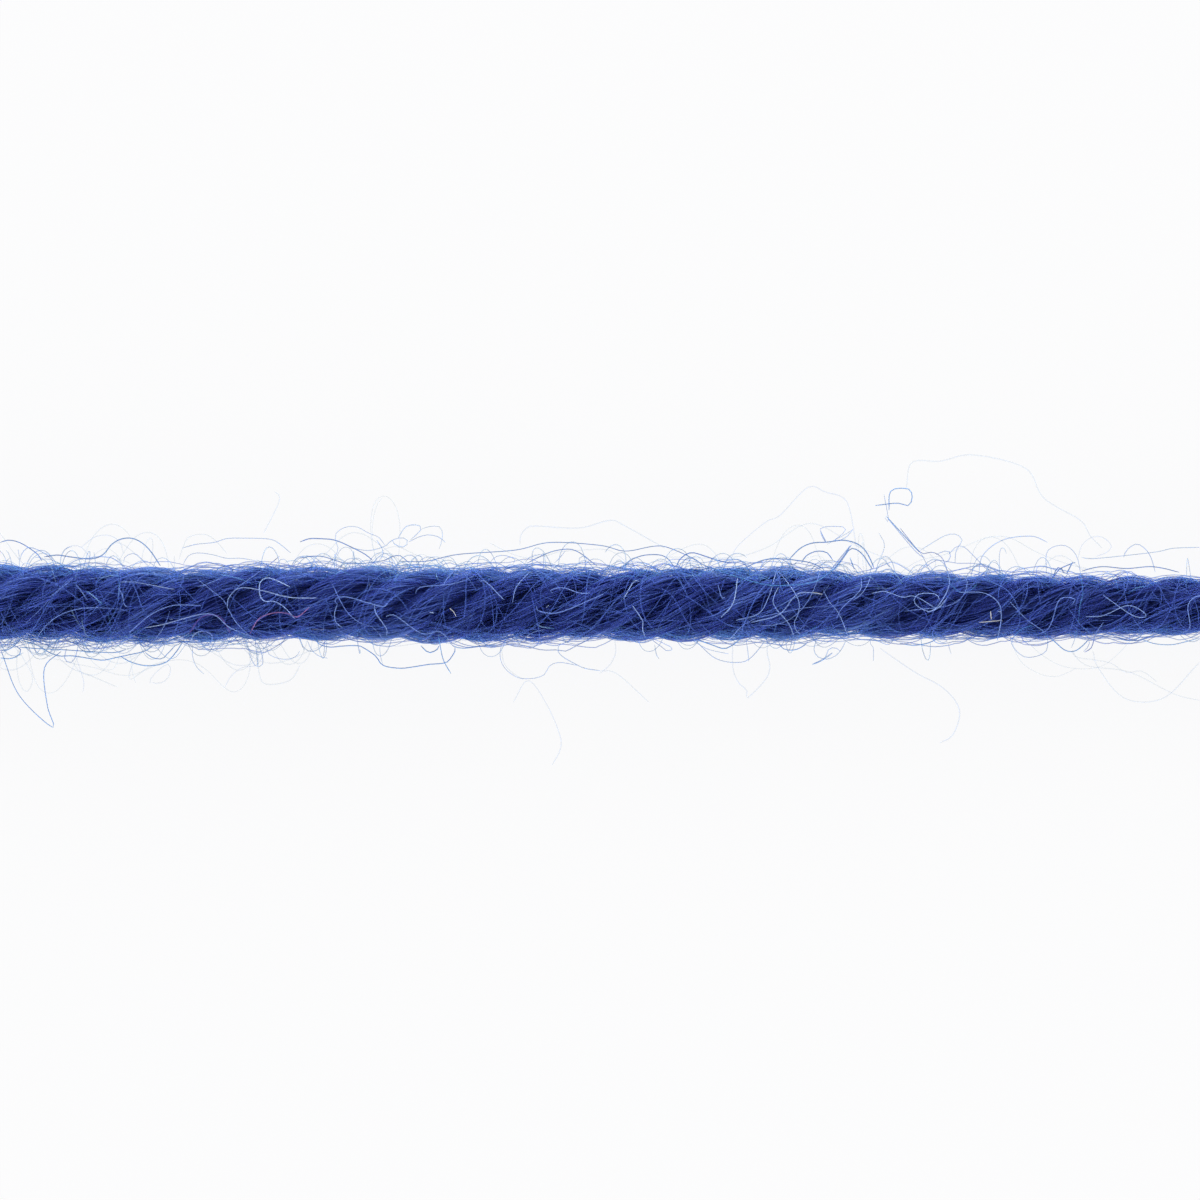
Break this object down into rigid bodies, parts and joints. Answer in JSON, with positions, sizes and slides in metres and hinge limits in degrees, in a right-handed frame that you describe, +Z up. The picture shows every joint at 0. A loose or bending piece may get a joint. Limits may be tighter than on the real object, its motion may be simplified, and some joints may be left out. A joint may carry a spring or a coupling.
{
  "type": "merino wool yarn strand",
  "caption": "Cut length of soft plied wool yarn, twisted like a rope with rounded plies, lying straight and pressed flat where it touches the surface.",
  "frame": {"origin": "bottom centre of the bounding box: the middle of the strand, on the surface it lies on", "axes": "+X along the strand, +Y across it, +Z up from the surface"},
  "size_m": [0.036, 0.0016, 0.0014],
  "materials": {
    "merino_wool": "royal blue dyed merino wool, matt and softly fuzzy, with a slight sheen on single fibres"
  },
  "bodies": {
    "root": {"yarn_strand": "merino_wool"}
  },
  "joints": []
}
